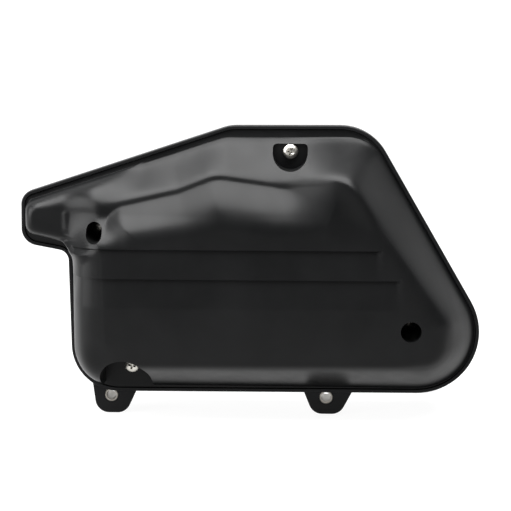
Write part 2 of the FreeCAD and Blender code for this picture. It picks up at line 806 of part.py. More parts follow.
def makeBoot():
    body = newBody("outlet_boot", d.outletX, 0, d.outletZ)
    wallBack = d.caseDepth
    wallFront = wallBack - d.caseWall
    collarBack = wallBack + d.bootCollarThickness
    front = wallFront - d.bootFlangeThickness
    turned(body, "bootWall", [
        (d.bootBoreRadius, front), (d.bootFlangeRadius, front), (d.bootFlangeRadius, wallFront),
        (d.bootNeckRadius, wallFront), (d.bootNeckRadius, wallBack),
        (d.bootCollarRadius, wallBack), (d.bootCollarRadius, collarBack),
        (d.bootTubeRadius, collarBack + d.bootCollarSlope),
        (d.bootTubeRadius, d.bootSocketFront - d.bootFlareLength),
        (d.bootSocketOuter, d.bootSocketFront),
        (d.bootSocketOuter, d.bootBack - d.bootLipWidth),
        (d.bootLipRadius, d.bootBack - d.bootLipWidth), (d.bootLipRadius, d.bootBack),
        (d.bootSocketRadius, d.bootBack), (d.bootSocketRadius, d.bootSocketFront),
        (d.bootBoreRadius, d.bootSocketFront - d.bootStepLength)])
    return body


def makeBand():
    x, z = d.outletX, d.outletZ
    inner = d.bootSocketOuter + d.bandGap
    outer = inner + d.bandThickness
    front, back = d.bandFront, d.bandFront + d.bandWidth
    near = d.bandEarOffset
    far = near + d.bandEarThickness
    ring = cut("bandRing", rod("bandOuter", x, z, outer, front, back),
               rod("bandInner", x, z, inner, front - d.cutPast, back + d.cutPast))
    split = cut("bandSplit", ring, block("bandOpening", x - near, x + near, front - d.cutPast,
                                         back + d.cutPast, z - outer - d.cutPast, z))
    ears = [block("bandEarFront", x - far, x - near, front, back, z - d.bandEarBottom,
                  z - d.bandEarTop + d.bandThickness),
            block("bandEarRear", x + near, x + far, front, back, z - d.bandEarBottom,
                  z - d.bandEarTop + d.bandThickness)]
    whole = cut("bandClear", fuse("bandWhole", [split] + ears),
                rod("bandBore", x, z, inner, front - d.cutPast, back + d.cutPast))
    holes = crossRod("bandHoles", front + d.bandWidth / 2, z - d.clampScrewDrop,
                     d.clampScrewRadius + d.clampHoleGap, x - far - d.cutPast, x + far + d.cutPast)
    return cut("boot_clamp_band", whole, holes)


def makeClampScrew():
    x, z = d.outletX, d.outletZ - d.clampScrewDrop
    y = d.bandFront + d.bandWidth / 2
    far = d.bandEarOffset + d.bandEarThickness
    headLeft = x - far - d.clampHeadHeight
    whole = fuse("clampScrewWhole", [
        crossRod("clampHead", y, z, d.clampHeadRadius, headLeft, x - far),
        crossRod("clampShank", y, z, d.clampScrewRadius, x - far - d.runInto,
                 x + d.clampScrewReach)])
    half = d.clampSlotWidth / 2
    rise = d.clampHeadRadius + d.cutPast
    slot = block("clampSlot", headLeft - d.cutPast, headLeft + d.clampSlotDepth, y - half, y + half,
                 z - rise, z + rise)
    return cut("boot_clamp_screw", whole, slot)


def makeClampNut():
    x, z = d.outletX, d.outletZ - d.clampScrewDrop
    y = d.bandFront + d.bandWidth / 2
    left = x + d.bandEarOffset + d.bandEarThickness
    half = d.clampNutSize / 2
    plate = block("nutBlock", left, left + d.clampNutThickness, y - half, y + half, z - half, z + half)
    hole = crossRod("nutHole", y, z, d.clampScrewRadius + d.clampHoleGap / 2, left - d.cutPast,
                    left + d.clampNutThickness + d.cutPast)
    return cut("boot_clamp_nut", plate, hole)


def snorkelPath(name, radius, inner, mouth):
    # straight from the case, a quarter bend downwards, and straight down to the mouth
    x, z = d.snorkelX, d.snorkelZ
    bend = doc.addObject("Part::Torus", name + "Bend")
    bend.Placement = Placement(Vector(0, 0, 0), Rotation(Vector(0, 1, 0), -90))
    bend.Angle3 = 90
    bind(bend, "Radius1", d.snorkelBendRadius)
    bind(bend, "Radius2", radius)
    bindPlace(bend, x, d.snorkelBendFront, z - d.snorkelBendRadius)
    drop = doc.addObject("Part::Cylinder", name + "Drop")
    bind(drop, "Radius", radius)
    bind(drop, "Height", z - d.snorkelBendRadius - mouth)
    bindPlace(drop, x, d.snorkelBendFront + d.snorkelBendRadius, mouth)
    return fuse(name, [rod(name + "Straight", x, z, radius, inner, d.snorkelBendFront), bend, drop])


def makeSnorkel():
    x, z = d.snorkelX, d.snorkelZ
    back = d.caseDepth + d.snorkelFlangeThickness
    reach, lug = d.snorkelLugReach, d.snorkelLugRadius
    front, past = d.caseDepth - d.cutPast, back + d.cutPast
    lip = doc.addObject("Part::Cylinder", "snorkelLip")
    bind(lip, "Radius", d.snorkelLipRadius)
    bind(lip, "Height", d.snorkelLipWidth)
    bindPlace(lip, x, d.snorkelBendFront + d.snorkelBendRadius, d.snorkelMouthZ)
    outside = fuse("snorkelOutside", [
        snorkelPath("snorkelTube", d.snorkelOuter, d.caseDepth, d.snorkelMouthZ), lip,
        rod("snorkelSpigotRod", x, z, d.snorkelSpigot, d.snorkelInner,
            d.caseDepth + d.cutPast),
        rod("snorkelFlange", x, z, d.snorkelFlangeRadius, d.caseDepth, back),
        rod("snorkelLugLow", x, z - reach, lug, d.caseDepth, back),
        rod("snorkelLugHigh", x, z + reach, lug, d.caseDepth, back),
        block("snorkelLugBar", x - lug, x + lug, d.caseDepth, back, z - reach, z + reach)])
    holes = fuse("snorkelHoles", [
        snorkelPath("snorkelPassage", d.snorkelBore, d.snorkelInner - d.cutPast,
                    d.snorkelMouthZ - d.cutPast),
        rod("snorkelScrewLow", x, z - reach, d.carrierHoleRadius, front, past),
        rod("snorkelScrewHigh", x, z + reach, d.carrierHoleRadius, front, past)])
    return cut("intake_snorkel", outside, holes)


def makeSnorkelScrews():
    back = d.caseDepth + d.snorkelFlangeThickness
    screws = []
    for name, side in (("Low", -1), ("High", 1)):
        z = d.snorkelZ + d.snorkelLugReach * side
        screws.append(fuse("snorkelScrewSolid" + name, [
            rod("snorkelShank" + name, d.snorkelX, z, d.carrierScrewRadius,
                back - d.carrierScrewLength, back + d.runInto),
            rod("snorkelHead" + name, d.snorkelX, z, d.carrierScrewHeadRadius, back,
                back + d.carrierScrewHeadHeight)]))
    group = doc.addObject("Part::Compound", "snorkel_screws")
    group.Links = screws
    return group


def makeDrainPlug():
    body = newBody("drain_plug", d.drainX, d.drainNippleBack, d.drainZ)
    head, stem = d.drainHeadRadius, d.drainStemRadius
    turned(body, "plugShape", [
        (0, -d.drainStemLength), (stem - d.drainEdge, -d.drainStemLength),
        (stem, -(d.drainStemLength - d.drainLead)), (stem, 0), (head, 0),
        (head, d.drainHeadThickness - d.drainEdge), (head - d.drainEdge, d.drainHeadThickness),
        (0, d.drainHeadThickness)])
    return body


def checkAndExport(nodes):
    for thing in doc.Objects:
        for state in thing.State:
            if state in ("Invalid", "Error"):
                raise RuntimeError(thing.Name + " failed: " + str(thing.State))
    os.makedirs("parts", exist_ok=True)
    for node in nodes:
        shape = node.Shape
        if shape.isNull() or not shape.isValid():
            raise RuntimeError(node.Label + " has no valid shape")
        print("%-20s solids %d volume %.1f" % (node.Label, len(shape.Solids), shape.Volume))
    for node in nodes:
        node.Shape.exportStep("parts/" + node.Label + ".step")


fillSheet()
rimSketch = outlineSketch("rim")
trunkSketch = outlineSketch("trunk")
caseNoseSketch = outlineSketch("caseNose")
coverNoseSketch = outlineSketch("coverNose")
shoulderSketch = outlineSketch("shoulder")
panelSketch = outlineSketch("panel")
doc.recompute()

nodes = [makeCover(), makeCase(), makeSeal(), makeCarrier(), makeCarrierScrews(), makeFoam(),
         makeRetainer(), makeSleeve("front_ear_sleeve", 0),
         makeSleeve("rear_ear_sleeve", d.earSpacing), makeBoot(), makeBand(), makeClampScrew(),
         makeClampNut(), makeSnorkel(), makeSnorkelScrews(), makeDrainPlug()]
nodes += [makeCoverScrew(name, x, z, seat) for name, x, z, seat in screwSpots()]
doc.recompute()
checkAndExport(nodes)
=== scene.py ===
import json
import math

import bpy
import numpy as np
from mathutils import Matrix, Vector


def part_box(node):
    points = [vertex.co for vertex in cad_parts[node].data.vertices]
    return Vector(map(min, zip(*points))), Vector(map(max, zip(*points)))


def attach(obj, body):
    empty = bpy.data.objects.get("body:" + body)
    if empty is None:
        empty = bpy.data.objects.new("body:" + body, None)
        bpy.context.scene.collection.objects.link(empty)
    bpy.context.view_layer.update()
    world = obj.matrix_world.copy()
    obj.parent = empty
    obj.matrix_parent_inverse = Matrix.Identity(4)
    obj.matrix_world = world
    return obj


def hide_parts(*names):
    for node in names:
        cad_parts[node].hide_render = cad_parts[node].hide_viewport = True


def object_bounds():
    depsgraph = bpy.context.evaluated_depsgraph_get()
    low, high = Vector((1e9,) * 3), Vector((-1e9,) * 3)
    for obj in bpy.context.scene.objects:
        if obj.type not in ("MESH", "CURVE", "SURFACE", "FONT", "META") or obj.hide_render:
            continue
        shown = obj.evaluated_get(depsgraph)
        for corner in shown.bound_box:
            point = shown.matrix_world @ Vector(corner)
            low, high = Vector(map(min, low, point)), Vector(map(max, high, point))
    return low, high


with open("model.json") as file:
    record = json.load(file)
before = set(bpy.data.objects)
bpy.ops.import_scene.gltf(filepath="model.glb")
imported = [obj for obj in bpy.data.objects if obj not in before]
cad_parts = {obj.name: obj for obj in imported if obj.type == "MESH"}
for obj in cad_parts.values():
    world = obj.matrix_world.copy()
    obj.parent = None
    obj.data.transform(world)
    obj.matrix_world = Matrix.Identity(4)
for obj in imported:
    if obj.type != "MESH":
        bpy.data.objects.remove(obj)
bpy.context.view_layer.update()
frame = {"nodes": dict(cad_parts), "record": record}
nodes = frame["nodes"]
mm = 0.001


# helpers for every piece: outlines, faces and solids


def smooth(t):
    # cubic ease from 0 to 1, flat at both ends
    t = np.clip(t, 0.0, 1.0)
    return t * t * (3.0 - 2.0 * t)


def roundedOutline(corners, arcSteps, sideSteps):
    # corners joined by straight sides and blended by arcs, the same count of points at every corner
    points = []
    total = len(corners)
    tangents = []
    for i in range(total):
        corner = np.array(corners[i][:2], float)
        before = np.array(corners[i - 1][:2], float) - corner
        after = np.array(corners[(i + 1) % total][:2], float) - corner
        before /= np.linalg.norm(before)
        after /= np.linalg.norm(after)
        half = math.acos(np.clip(before @ after, -1, 1)) / 2
        reach = corners[i][2] / math.tan(half)
        middle = before + after
        centre = corner + middle / np.linalg.norm(middle) * corners[i][2] / math.sin(half)
        tangents.append((corner + before * reach, corner + after * reach, centre))
    for i in range(total):
        start, end, centre = tangents[i]
        turnFrom = math.atan2(*(start - centre)[::-1])
        turn = (math.atan2(*(end - centre)[::-1]) - turnFrom + math.pi) % (2 * math.pi) - math.pi
        angles = turnFrom + turn * np.arange(arcSteps) / arcSteps
        arc = centre + corners[i][2] * np.stack([np.cos(angles), np.sin(angles)], 1)
        share = np.arange(sideSteps)[:, None] / sideSteps
        side = end + (tangents[(i + 1) % total][0] - end) * share
        points += [arc, side]
    return np.concatenate(points)


def inwardNormals(outline):
    # a quarter turn of the direction of travel, the outlines run clockwise seen from the front
    along = np.roll(outline, -1, 0) - np.roll(outline, 1, 0)
    along /= np.linalg.norm(along, axis=1)[:, None]
    return np.stack([along[:, 1], -along[:, 0]], 1)


def edgeDistance(points, outline):
    # distance to the nearest side of the outline, positive inside it
    start = outline[None]
    step = (np.roll(outline, -1, 0) - outline)[None]
    result = np.empty(len(points))
    for first in range(0, len(points), 1500):
        part = points[first:first + 1500, None]
        away = part - start
        share = np.clip((away * step).sum(2) / (step * step).sum(2), 0, 1)
        nearest = np.sqrt(((away - step * share[..., None]) ** 2).sum(2).min(1))
        rise = np.where(step[..., 1] == 0, 1e-12, step[..., 1])
        above = (part[..., 1] >= start[..., 1]) != (part[..., 1] >= (start + step)[..., 1])
        right = part[..., 0] < start[..., 0] + step[..., 0] * away[..., 1] / rise
        inside = (above & right).sum(1) % 2 == 1
        result[first:first + 1500] = np.where(inside, nearest, -nearest)
    return result


def outward(points, faces):
    # faces turned round when the closed surface has a negative volume
    total = 0.0
    for i in range(1, faces.shape[1] - 1):
        a, b, c = points[faces[:, 0]], points[faces[:, i]], points[faces[:, i + 1]]
        total += (a * np.cross(b, c)).sum()
    return faces if total > 0 else faces[:, ::-1]


def newPiece(name, points, quads, extra=(), sharp=38):
    # points in millimetres, faces as whole arrays
    mesh = bpy.data.meshes.new(name)
    faces = quads.tolist() + [list(face) for face in extra]
    mesh.from_pydata((np.asarray(points) * mm).tolist(), [], faces)
    mesh.validate()
    mesh.shade_smooth()
    mesh.set_sharp_from_angle(angle=math.radians(sharp))
    piece = bpy.data.objects.new(name, mesh)
    bpy.context.scene.collection.objects.link(piece)
    return piece


def gridFaces(rows, columns, wrap=True):
    # four-sided faces of a grid of points kept row after row
    row, column = np.meshgrid(np.arange(rows - 1), np.arange(columns if wrap else columns - 1),
                              indexing="ij")
    beside = (column + 1) % columns
    return np.stack([row * columns + column, row * columns + beside,
                     (row + 1) * columns + beside, (row + 1) * columns + column], -1).reshape(-1, 4)


def combine(target, tool, how):
    # solid union, difference or intersection, kept as plain mesh data
    change = target.modifiers.new(how, "BOOLEAN")
    change.operation = how
    change.solver = "MANIFOLD"
    change.object = tool
    bpy.context.view_layer.update()
    seen = target.evaluated_get(bpy.context.evaluated_depsgraph_get())
    result = bpy.data.meshes.new_from_object(seen)
    target.modifiers.clear()
    old = target.data
    target.data = result
    bpy.data.meshes.remove(old)
    bpy.data.objects.remove(tool)


def prism(name, outline, front, back, sharp=38):
    # outline in X and Z carried along Y
    count = len(outline)
    points = np.concatenate([np.insert(outline, 1, front, 1), np.insert(outline, 1, back, 1)])
    quads = gridFaces(2, count)
    area = (outline[:, 0] * np.roll(outline[:, 1], -1) - np.roll(outline[:, 0], -1) * outline[:, 1]).sum()
    caps = [list(range(count)), list(range(count, 2 * count))[::-1]]
    if area < 0:
        quads = quads[:, ::-1]
        caps = [cap[::-1] for cap in caps]
    # the front cap of an anticlockwise outline faces -Y, the sides run the other way round
    return newPiece(name, points, quads[:, ::-1], caps, sharp)


# finishes, all computed from the object's own coordinates


def newMaterial(name):
    made = bpy.data.materials.new(name)
    made.use_nodes = True
    tree = made.node_tree
    shader = tree.nodes["Principled BSDF"]
    return made, tree, shader


def link(tree, source, target):
    tree.links.new(source, target)


def noise(tree, scale, detail, roughness=0.5, stretch=None):
    # noise read in the object's own coordinates, in metres
    coordinate = tree.nodes.new("ShaderNodeTexCoord").outputs["Object"]
    if stretch:
        mapping = tree.nodes.new("ShaderNodeMapping")
        mapping.inputs["Scale"].default_value = stretch
        link(tree, coordinate, mapping.inputs["Vector"])
        coordinate = mapping.outputs["Vector"]
    made = tree.nodes.new("ShaderNodeTexNoise")
    made.inputs["Scale"].default_value = scale
    made.inputs["Detail"].default_value = detail
    made.inputs["Roughness"].default_value = roughness
    link(tree, coordinate, made.inputs["Vector"])
    return made.outputs["Fac"]


def spread(tree, value, low, high, fromLow=0.3, fromHigh=0.7):
    # a value carried from one range to another
    made = tree.nodes.new("ShaderNodeMapRange")
    made.inputs["From Min"].default_value = fromLow
    made.inputs["From Max"].default_value = fromHigh
    made.inputs["To Min"].default_value = low
    made.inputs["To Max"].default_value = high
    link(tree, value, made.inputs["Value"])
    return made.outputs["Result"]


def addBump(tree, height, strength, distance, below=None):
    made = tree.nodes.new("ShaderNodeBump")
    made.inputs["Strength"].default_value = strength
    made.inputs["Distance"].default_value = distance
    link(tree, height, made.inputs["Height"])
    if below:
        link(tree, below, made.inputs["Normal"])
    return made.outputs["Normal"]


def tint(tree, factor, low, high):
    # colour between two ends
    made = tree.nodes.new("ShaderNodeMix")
    made.data_type = "RGBA"
    made.inputs["A"].default_value = (*low, 1)
    made.inputs["B"].default_value = (*high, 1)
    link(tree, factor, made.inputs["Factor"])
    return made.outputs["Result"]


def plastic(name, low, high, shine, grain, wave, specular=0.5):
    # moulded plastic: fine grain, slow waves of sink marks, smudges and a few scuffs in the shine
    made, tree, shader = newMaterial(name)
    cloud = noise(tree, 22, 4, 0.55)
    smudge = noise(tree, 60, 6, 0.6, (1, 1, 0.35))
    fine = noise(tree, 2600, 3, 0.6)
    slow = noise(tree, 34, 2, 0.4)
    scuff = noise(tree, 420, 8, 0.7, (1, 1, 0.08))
    link(tree, tint(tree, spread(tree, cloud, 0, 1), low, high), shader.inputs["Base Color"])
    mixed = tree.nodes.new("ShaderNodeMath")
    mixed.operation = "ADD"
    link(tree, spread(tree, smudge, shine - 0.035, shine + 0.05), mixed.inputs[0])
    link(tree, spread(tree, scuff, 0, 0.06, 0.6, 0.75), mixed.inputs[1])
    link(tree, mixed.outputs["Value"], shader.inputs["Roughness"])
    first = addBump(tree, slow, wave, 0.0006)
    link(tree, addBump(tree, fine, grain, 0.00004, first), shader.inputs["Normal"])
    shader.inputs["Specular IOR Level"].default_value = specular
    return made


def foamFinish(name):
    # open-cell foam: pores painted darker where the bump dips, a painted shade in the pores, colour
    # drifting a little, no shine
    made, tree, shader = newMaterial(name)
    pores = tree.nodes.new("ShaderNodeTexVoronoi")
    pores.inputs["Scale"].default_value = 900
    coordinate = tree.nodes.new("ShaderNodeTexCoord").outputs["Object"]
    link(tree, coordinate, pores.inputs["Vector"])
    depth = spread(tree, pores.outputs["Distance"], 0, 1, 0.1, 0.6)
    drift = noise(tree, 40, 4)
    mixed = tree.nodes.new("ShaderNodeMath")
    mixed.operation = "MULTIPLY"
    link(tree, depth, mixed.inputs[0])
    link(tree, spread(tree, drift, 0.7, 1.0), mixed.inputs[1])
    # painted shade: the colour darkens with the pore depth, where the bump sinks into the pores; the drift
    # is the foam's own tone
    link(tree, tint(tree, mixed.outputs["Value"], (0.22, 0.15, 0.035), (0.58, 0.44, 0.13)),
         shader.inputs["Base Color"])
    shader.inputs["Roughness"].default_value = 0.95
    shader.inputs["Sheen Weight"].default_value = 0.25
    link(tree, addBump(tree, depth, 0.9, 0.0006), shader.inputs["Normal"])
    return made


def rubber(name):
    made, tree, shader = newMaterial(name)
    cloud = noise(tree, 45, 5)
    fine = noise(tree, 1500, 4, 0.7)
    link(tree, tint(tree, spread(tree, cloud, 0, 1), (0.012, 0.012, 0.012), (0.03, 0.029, 0.028)),
         shader.inputs["Base Color"])
    link(tree, spread(tree, cloud, 0.55, 0.78), shader.inputs["Roughness"])
    link(tree, addBump(tree, fine, 0.35, 0.00008), shader.inputs["Normal"])
    shader.inputs["Specular IOR Level"].default_value = 0.35
    return made


def metal(name, low, high, shine, stretch):
    # plated or drawn steel: fine lines, stains in the shine
    made, tree, shader = newMaterial(name)
    lines = noise(tree, 900, 5, 0.6, stretch)
    stain = noise(tree, 110, 5, 0.6)
    link(tree, tint(tree, spread(tree, stain, 0, 1), low, high), shader.inputs["Base Color"])
    link(tree, spread(tree, stain, shine - 0.06, shine + 0.1), shader.inputs["Roughness"])
    link(tree, addBump(tree, lines, 0.18, 0.00006), shader.inputs["Normal"])
    shader.inputs["Metallic"].default_value = 1
    return made


finishes = {
    "cover_plastic": plastic("coverPlastic", (0.0024, 0.0025, 0.0026), (0.0044, 0.0045, 0.0047),
                             0.34, 0.25, 0.22, 0.11),
    "case_plastic": plastic("casePlastic", (0.004, 0.0041, 0.0043), (0.007, 0.0071, 0.0074),
                            0.32, 0.3, 0.3, 0.08),
    "inner_plastic": plastic("innerPlastic", (0.012, 0.012, 0.0125), (0.02, 0.02, 0.021), 0.5, 0.4, 0.2),
    "foam": foamFinish("filterFoam"),
    "rubber": rubber("softRubber"),
    "plated_steel": metal("platedSteel", (0.42, 0.41, 0.38), (0.6, 0.58, 0.53), 0.3, (1, 0.2, 1)),
    "sleeve_steel": metal("sleeveSteel", (0.16, 0.15, 0.13), (0.34, 0.32, 0.29), 0.34, (1, 0.05, 1)),
}
slotOf = {part["node"]: part["material_slot"] for part in frame["record"]["subparts"]}
for node, slotName in slotOf.items():
    nodes[node].data.materials.clear()
    nodes[node].data.materials.append(finishes[slotName])
print("finishes ready", len(finishes))


def finished(piece, node, body):
    # the piece takes over one CAD node, its finish and its body
    piece.data.materials.clear()
    piece.data.materials.append(finishes[slotOf[node]])
    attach(piece, body)
    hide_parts(node)


# cover: foot, flange, terraces and the recessed boards, in millimetres above the joint
coverLook = {
    "wall": 2.4,               # shell thickness
    "frontHeight": 43.0,       # panel above the joint
    "terraceDrop": 15.0,       # how far the top terrace lies below the panel
    "noseHeight": 18.0,
    "footHeight": 2.8,
    "flangeTop": 2.5,
    "flangeInset": 2.5,        # flange edge inside the case's rim
    "flangeRound": 0.35,
    "bandWidth": 5.0,          # rings follow the foot this far in
    "boardTops": (101.4, 83.1),
    "boardStep": 0.3,          # height of the step down under each board's edge
    "boardRear": (173.0, 185.0),
    "boardFront": -18.6,
    "boardDepth": 1.3,
    "boardFade": 18.0,
    "middleEnds": (8.0, 170.0),   # X ends of the rectangle that the rings close in on
}
# corners as X, Z and radius, clockwise seen from the front
footCorners = [(-52.4, 126.1, 7.1), (74.2, 167.6, 19), (165.4, 167.8, 26), (258.9, 7.2, 36.4),
               (-22, 7.8, 28.5), (-22, 99.5, 11), (-52.6, 106.2, 7.1)]
rimCorners = [(-55.5, 130.7, 9.5), (77.1, 174.4, 25), (165.2, 174.6, 33), (264.2, 4.1, 39.5),
              (-24.5, 3.0, 30), (-26.1, 93.8, 7), (-55.9, 99.4, 11)]
terraceCorners = [(-46, 121.4, 4.5), (1.5, 125.5, 10), (47, 135.3, 20), (70, 144.4, 22),
                  (112, 138.6, 45), (150, 143.5, 16), (170, 117, 40), (215.5, 57, 14),
                  (212, 28.5, 14), (0.5, 27, 16), (-1, 101.5, 9), (-46, 111.5, 4)]
panelCorners = [(0.5, 124.5, 15), (47, 135.3, 22), (70, 144.4, 22), (112, 138.6, 45), (150, 143.5, 16),
                (170, 117, 40), (215.5, 57, 14), (212, 28.5, 14), (0.5, 27, 16)]
foot = roundedOutline(footCorners, 60, 220)
rim = roundedOutline(rimCorners, 60, 220)
footNormals = inwardNormals(foot)
rimNormals = inwardNormals(rim)
flangeEdge = rim + rimNormals * coverLook["flangeInset"]
terrace = roundedOutline(terraceCorners, 18, 2)
panelLine = roundedOutline(panelCorners, 14, 2)
footCoarse = roundedOutline(footCorners, 24, 2)


def coverHeight(points):
    # height above the joint: the foot's height, plus the climb from the foot to the terrace line times the
    # plateau's height there, plus a small ridge at the throat and the panel's rise above the upper terrace;
    # the climb is the distance from the foot over the whole distance from foot to terrace line
    look = coverLook
    x, z = points[:, 0], points[:, 1]
    toFoot = np.maximum(edgeDistance(points, footCoarse), 0)
    toTerrace = edgeDistance(points, terrace)
    # straight slope with a softened shoulder; soft foot along the top side
    topSide = smooth((z - 112) / 26) * (1 - smooth((x - 160) / 40)) * smooth((x + 10) / 30)
    lead = toTerrace + 2.2 * topSide
    climb = np.where(lead < 0, toFoot / np.maximum(toFoot - lead, 1e-6), 1 + lead / 16)
    concave = climb * climb / (climb + 0.12) * 1.12
    slope = climb + (np.minimum(concave, climb) - climb) * topSide
    soft = 0.17 - 0.05 * topSide + 0.25 * smooth((x - 180) / 40)
    base = (1 - np.sqrt(1 + soft * soft)) / 2
    straight = (slope + 1 - np.sqrt((slope - 1) ** 2 + soft * soft)) / 2 - base * np.clip(1 - slope, 0, 1)
    # the front end climbs steeply on a superellipse instead
    power = 2.0 + 0.15 * smooth((104 - z) / 12)
    steep = (1 - np.clip(1 - climb, 0, 1) ** power) ** (1 / power)
    share = 1 - smooth((x + 15) / 40)
    rise = share * steep + (1 - share) * straight
    # the upper terrace ends before the right side, which slopes at 60 degrees
    toRight = 0.866 * x + 0.5 * z
    upper = smooth((z - 100) / 22) * (1 - smooth((toRight - 160) / 48))
    body = look["frontHeight"] - look["terraceDrop"] * upper
    nose = (1 - smooth((x + 28) / 28)) * smooth((z - 96) / 8)
    plateau = body - (body - look["noseHeight"]) * nose
    ridge = 0.8 * np.exp(-((x + 25) / 1.6) ** 2) * smooth((toTerrace - 0.5) / 3) * smooth((z - 100) / 4)
    inner = np.clip((edgeDistance(points, panelLine) - 0.5) / 30, 0, 1) ** 0.66
    bulge = look["terraceDrop"] * upper * smooth(inner)
    return look["footHeight"] + (plateau - look["footHeight"]) * rise + ridge + bulge


def boardRecess(x, z):
    # each board starts with a step down and fades out towards the next one
    look = coverLook
    total = np.zeros_like(x)
    for top, rear in zip(look["boardTops"], look["boardRear"]):
        start = top - look["boardStep"]
        fade = np.clip((z - (start - look["boardFade"])) / look["boardFade"], 0, 1)
        step = np.clip((top - z) / look["boardStep"], 0, 1)
        ends = smooth((x - look["boardFront"] + 3) / 3) * (1 - smooth((x - rear + 5) / 5))
        total += look["boardDepth"] * fade * step * ends
    return total


def perimeterSamples(left, top):
    # where the offset ring meets the board rows, then even steps along both long ranges
    ring = foot + footNormals * coverLook["bandWidth"]
    count = len(foot)
    index = np.arange(count)
    (upper, lower), step = coverLook["boardTops"], coverLook["boardStep"]
    rows = np.concatenate([[lower - step, lower], np.linspace(lower, upper - step, left - 1)[1:], [upper]])
    leftPart = index[(ring[:, 0] < 0) & (index > count * 0.6) & (ring[:, 1] > 70) & (ring[:, 1] < 102.5)]
    leftSpots = np.interp(rows, ring[leftPart, 1], leftPart)
    rightPart = index[(ring[:, 0] > 170) & (ring[:, 1] > 60) & (ring[:, 1] < 130)]
    rightSpots = np.interp(rows, ring[rightPart[::-1], 1], rightPart[::-1])
    footSteps = np.linalg.norm(np.diff(foot, axis=0, append=foot[:1]), axis=1)
    ringSteps = np.linalg.norm(np.diff(ring, axis=0, append=ring[:1]), axis=1)
    along = np.concatenate([[0], np.cumsum(footSteps + ringSteps)])
    reach = np.arange(count + 1)

    def even(start, end, cells):
        # start and end are places on the closed outline, end may lie past the seam
        lengths = np.concatenate([along, along[1:] + along[-1]])
        places = np.concatenate([reach, reach[1:] + count])
        a, b = np.interp([start, end], places, lengths)
        return np.interp(np.linspace(a, b, cells + 1), lengths, places)

    topRun = even(leftSpots[-1], rightSpots[-1] + count, top)
    bottomRun = even(rightSpots[0], leftSpots[0], top)
    spots = np.concatenate([leftSpots[:-1], topRun[:-1], (rightSpots[::-1] + count)[:-1],
                            bottomRun[:-1] + count])
    return spots % count, rows


def sampleClosed(outline, spots):
    # places between two neighbouring points of a closed outline
    low = np.floor(spots).astype(int) % len(outline)
    share = (spots - np.floor(spots))[:, None]
    return outline[low] * (1 - share) + outline[(low + 1) % len(outline)] * share


leftCells, topCells = 12, 260
spots, rowHeights = perimeterSamples(leftCells, topCells)
footRing = sampleClosed(foot, spots)
ringNormals = sampleClosed(footNormals, spots)
ringNormals /= np.linalg.norm(ringNormals, axis=1)[:, None]
edgeRing = sampleClosed(flangeEdge, spots)
middleFront, middleRear = coverLook["middleEnds"]
across = np.linspace(middleFront, middleRear, topCells + 1)
target = np.concatenate([
    np.stack([np.full(leftCells, middleFront), rowHeights[:-1]], 1),
    np.stack([across[:-1], np.full(topCells, rowHeights[-1])], 1),
    np.stack([np.full(leftCells, middleRear), rowHeights[:0:-1]], 1),
    np.stack([across[:0:-1], np.full(topCells, rowHeights[0])], 1)])


def domeRings(offsets, linear):
    # rings that first follow the foot and then close in on the middle rectangle
    near = footRing[None] + ringNormals[None] * offsets[:, None, None]
    share = (np.arange(1, linear + 1) / linear)[:, None, None]
    far = near[-1][None] * (1 - share) + target[None] * share
    return np.concatenate([near, far])


def liftDome(plan, recess):
    # plan points lifted to the surface, pushed in along their normals where a board is recessed
    shape = plan.shape
    flat = plan.reshape(-1, 2)
    h = coverHeight(flat)
    gap = 0.05
    slopeX = (coverHeight(flat + [gap, 0]) - h) / gap
    slopeZ = (coverHeight(flat + [0, gap]) - h) / gap
    normal = np.stack([-slopeX, -np.ones_like(h), -slopeZ], 1)
    normal /= np.linalg.norm(normal, axis=1)[:, None]
    point = np.stack([flat[:, 0], -h, flat[:, 1]], 1)
    point -= normal * (recess(flat[:, 0], flat[:, 1]) if callable(recess) else recess)[:, None]
    return point.reshape(*shape[:2], 3)


outerPlan = domeRings(coverLook["bandWidth"] * (np.arange(13) / 12) ** 2, 60)
outerDome = liftDome(outerPlan, boardRecess)
innerPlan = domeRings(coverLook["bandWidth"] * (np.arange(6) / 5) ** 1.5, 18)
innerDome = liftDome(innerPlan, np.full(innerPlan.shape[0] * innerPlan.shape[1], coverLook["wall"]))
innerDome[..., 1] = np.minimum(innerDome[..., 1], -0.4)
# the middle rectangle, its border is the last ring
middle = np.stack(np.meshgrid(across, rowHeights, indexing="xy"), -1)
middleOuter = liftDome(middle, boardRecess)
middleInner = liftDome(middle, np.full(middle.shape[0] * middle.shape[1], coverLook["wall"]))
print("cover surface sampled", outerDome.shape, innerDome.shape)


def atDepth(plan, y):
    return np.insert(plan, 1, y, 1)


def rectangleFaces(first, ringStart, columns, rows):
    # interior points are new, border points are the last ring of the dome
    index = np.empty((rows + 1, columns + 1), int)
    index[1:-1, 1:-1] = first + np.arange((rows - 1) * (columns - 1)).reshape(rows - 1, columns - 1)
    index[:-1, 0] = ringStart + np.arange(rows)
    index[-1, :-1] = ringStart + rows + np.arange(columns)
    index[:0:-1, -1] = ringStart + rows + columns + np.arange(rows)
    index[0, :0:-1] = ringStart + 2 * rows + columns + np.arange(columns)
    return np.stack([index[:-1, :-1], index[:-1, 1:], index[1:, 1:], index[1:, :-1]], -1).reshape(-1, 4)


